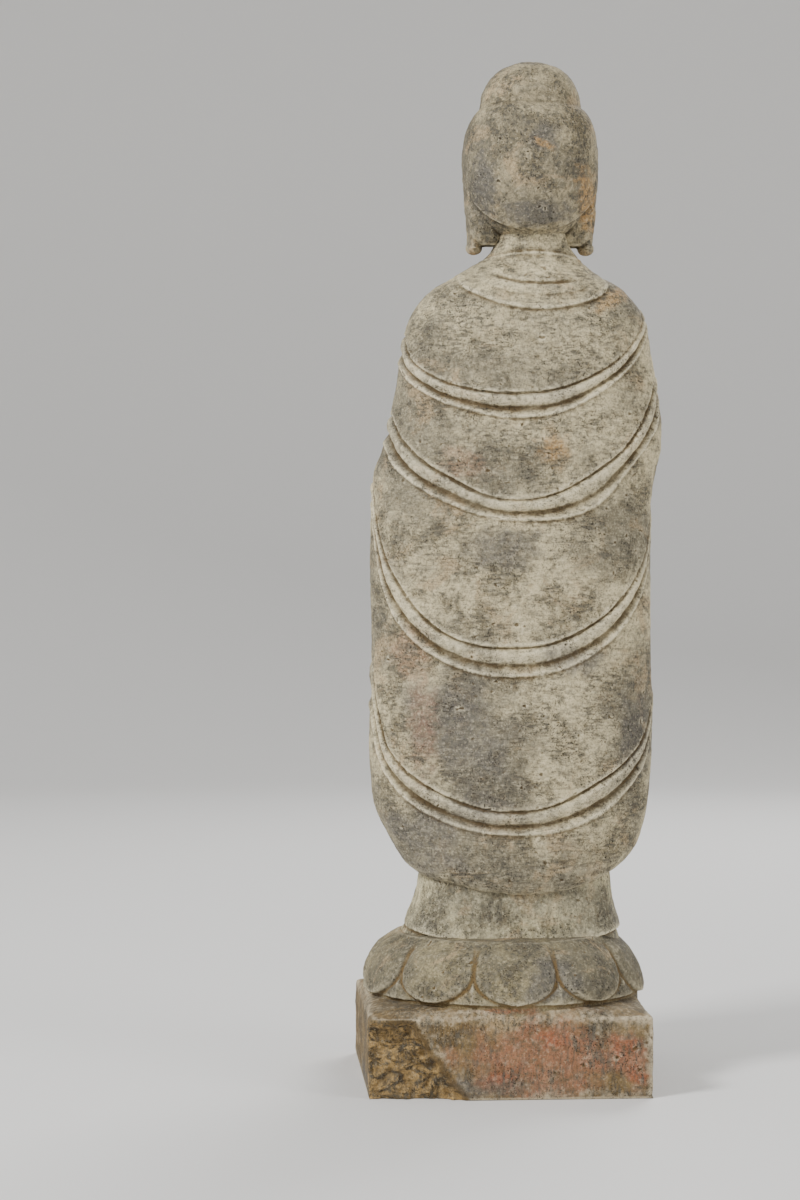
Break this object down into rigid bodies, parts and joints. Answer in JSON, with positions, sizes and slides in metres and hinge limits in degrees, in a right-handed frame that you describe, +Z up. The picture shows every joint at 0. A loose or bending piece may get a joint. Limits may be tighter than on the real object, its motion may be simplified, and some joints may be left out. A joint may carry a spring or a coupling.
{
  "type": "standing buddha statue",
  "caption": "Standing Buddha carved in grey limestone, robed over both shoulders, on a lotus and a square plinth with a broken corner",
  "frame": {"origin": "middle of the plinth's underside", "axes": "+Z up; the figure faces -Y, so +Y is its back and -X its right"},
  "size_m": [0.2368, 0.2248, 0.8],
  "materials": {
    "limestone": "weathered, toothed-chisel finish with traces of red pigment"
  },
  "bodies": {
    "root": {"standing_buddha": "limestone"}
  },
  "joints": []
}
